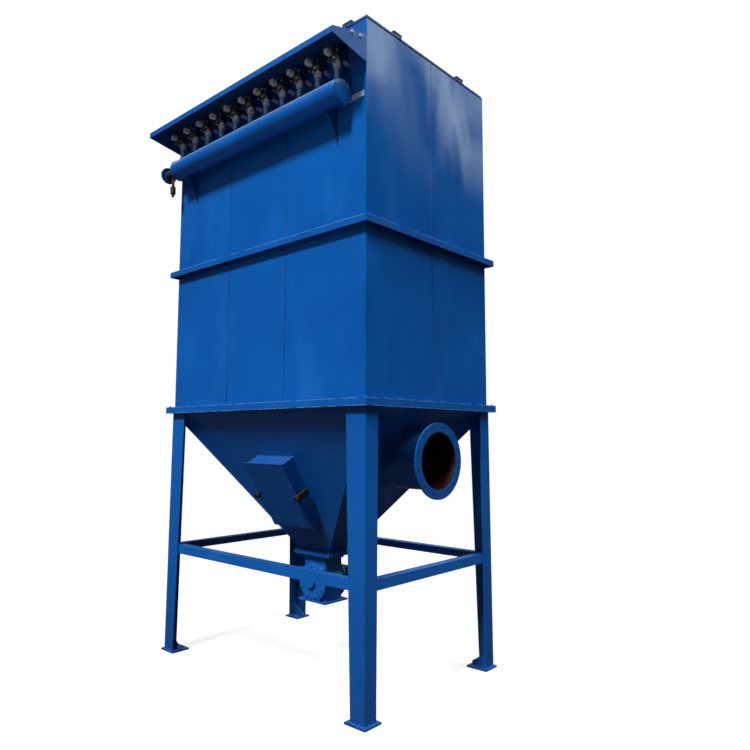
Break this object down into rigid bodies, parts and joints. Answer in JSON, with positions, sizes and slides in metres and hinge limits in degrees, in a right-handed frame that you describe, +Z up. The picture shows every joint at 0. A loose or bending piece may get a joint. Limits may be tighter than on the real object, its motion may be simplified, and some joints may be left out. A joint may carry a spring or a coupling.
{
  "type": "baghouse dust collector",
  "caption": "Pulse-jet bag filter dust collector: steel casing on a pyramid hopper and legs, with air header, valve row, canopy, flanged inlet, hatch and rotary valve.",
  "frame": {"origin": "on the ground under the middle of the machine's outline", "axes": "+X towards the inlet side, +Y towards the clean-air outlet at the back, +Z up"},
  "size_m": [2.2, 1.7754, 4.3566],
  "materials": {
    "casing_paint": "semi-gloss blue enamel",
    "hopper_paint": "semi-gloss blue enamel, thinner and duller",
    "dark_steel": "dark, a little rusty",
    "valve_casting": "cast, satin"
  },
  "bodies": {
    "root": {"ring_beam": "casing_paint", "casing_front": "casing_paint", "casing_back": "casing_paint", "casing_left": "casing_paint", "casing_right": "casing_paint", "casing_girt": "casing_paint", "hopper_outlet_flange": "casing_paint", "rotary_valve": "casing_paint", "inlet_duct": "casing_paint", "inlet_flange": "casing_paint", "clean_air_duct": "casing_paint", "clean_air_flange": "casing_paint", "leg_front_left": "casing_paint", "leg_front_right": "casing_paint", "leg_back_right": "casing_paint", "leg_back_left": "casing_paint", "brace_front": "casing_paint", "brace_back": "casing_paint", "brace_left": "casing_paint", "brace_right": "casing_paint", "roof_deck": "casing_paint", "roof_lid_1": "casing_paint", "roof_lid_2": "casing_paint", "roof_lid_3": "casing_paint", "canopy_roof": "casing_paint", "canopy_cheek_left": "casing_paint", "canopy_cheek_right": "casing_paint", "air_header": "casing_paint", "header_tab_left": "casing_paint", "header_tab_right": "casing_paint", "header_bracket_left": "casing_paint", "header_bracket_right": "casing_paint", "hopper_front": "hopper_paint", "hopper_back": "hopper_paint", "hopper_left": "hopper_paint", "hopper_right": "hopper_paint", "hatch_chute": "hopper_paint", "hatch_cover": "hopper_paint", "hatch_clamp_left": "dark_steel", "hatch_clamp_right": "dark_steel", "rotary_gearmotor": "dark_steel", "header_air_nozzle": "dark_steel", "header_drain_cock": "dark_steel", "pulse_valve_01": "valve_casting", "pulse_valve_02": "valve_casting", "pulse_valve_03": "valve_casting", "pulse_valve_04": "valve_casting", "pulse_valve_05": "valve_casting", "pulse_valve_06": "valve_casting", "pulse_valve_07": "valve_casting", "pulse_valve_08": "valve_casting", "pulse_valve_09": "valve_casting", "pulse_valve_10": "valve_casting", "pulse_valve_11": "valve_casting"}
  },
  "joints": []
}
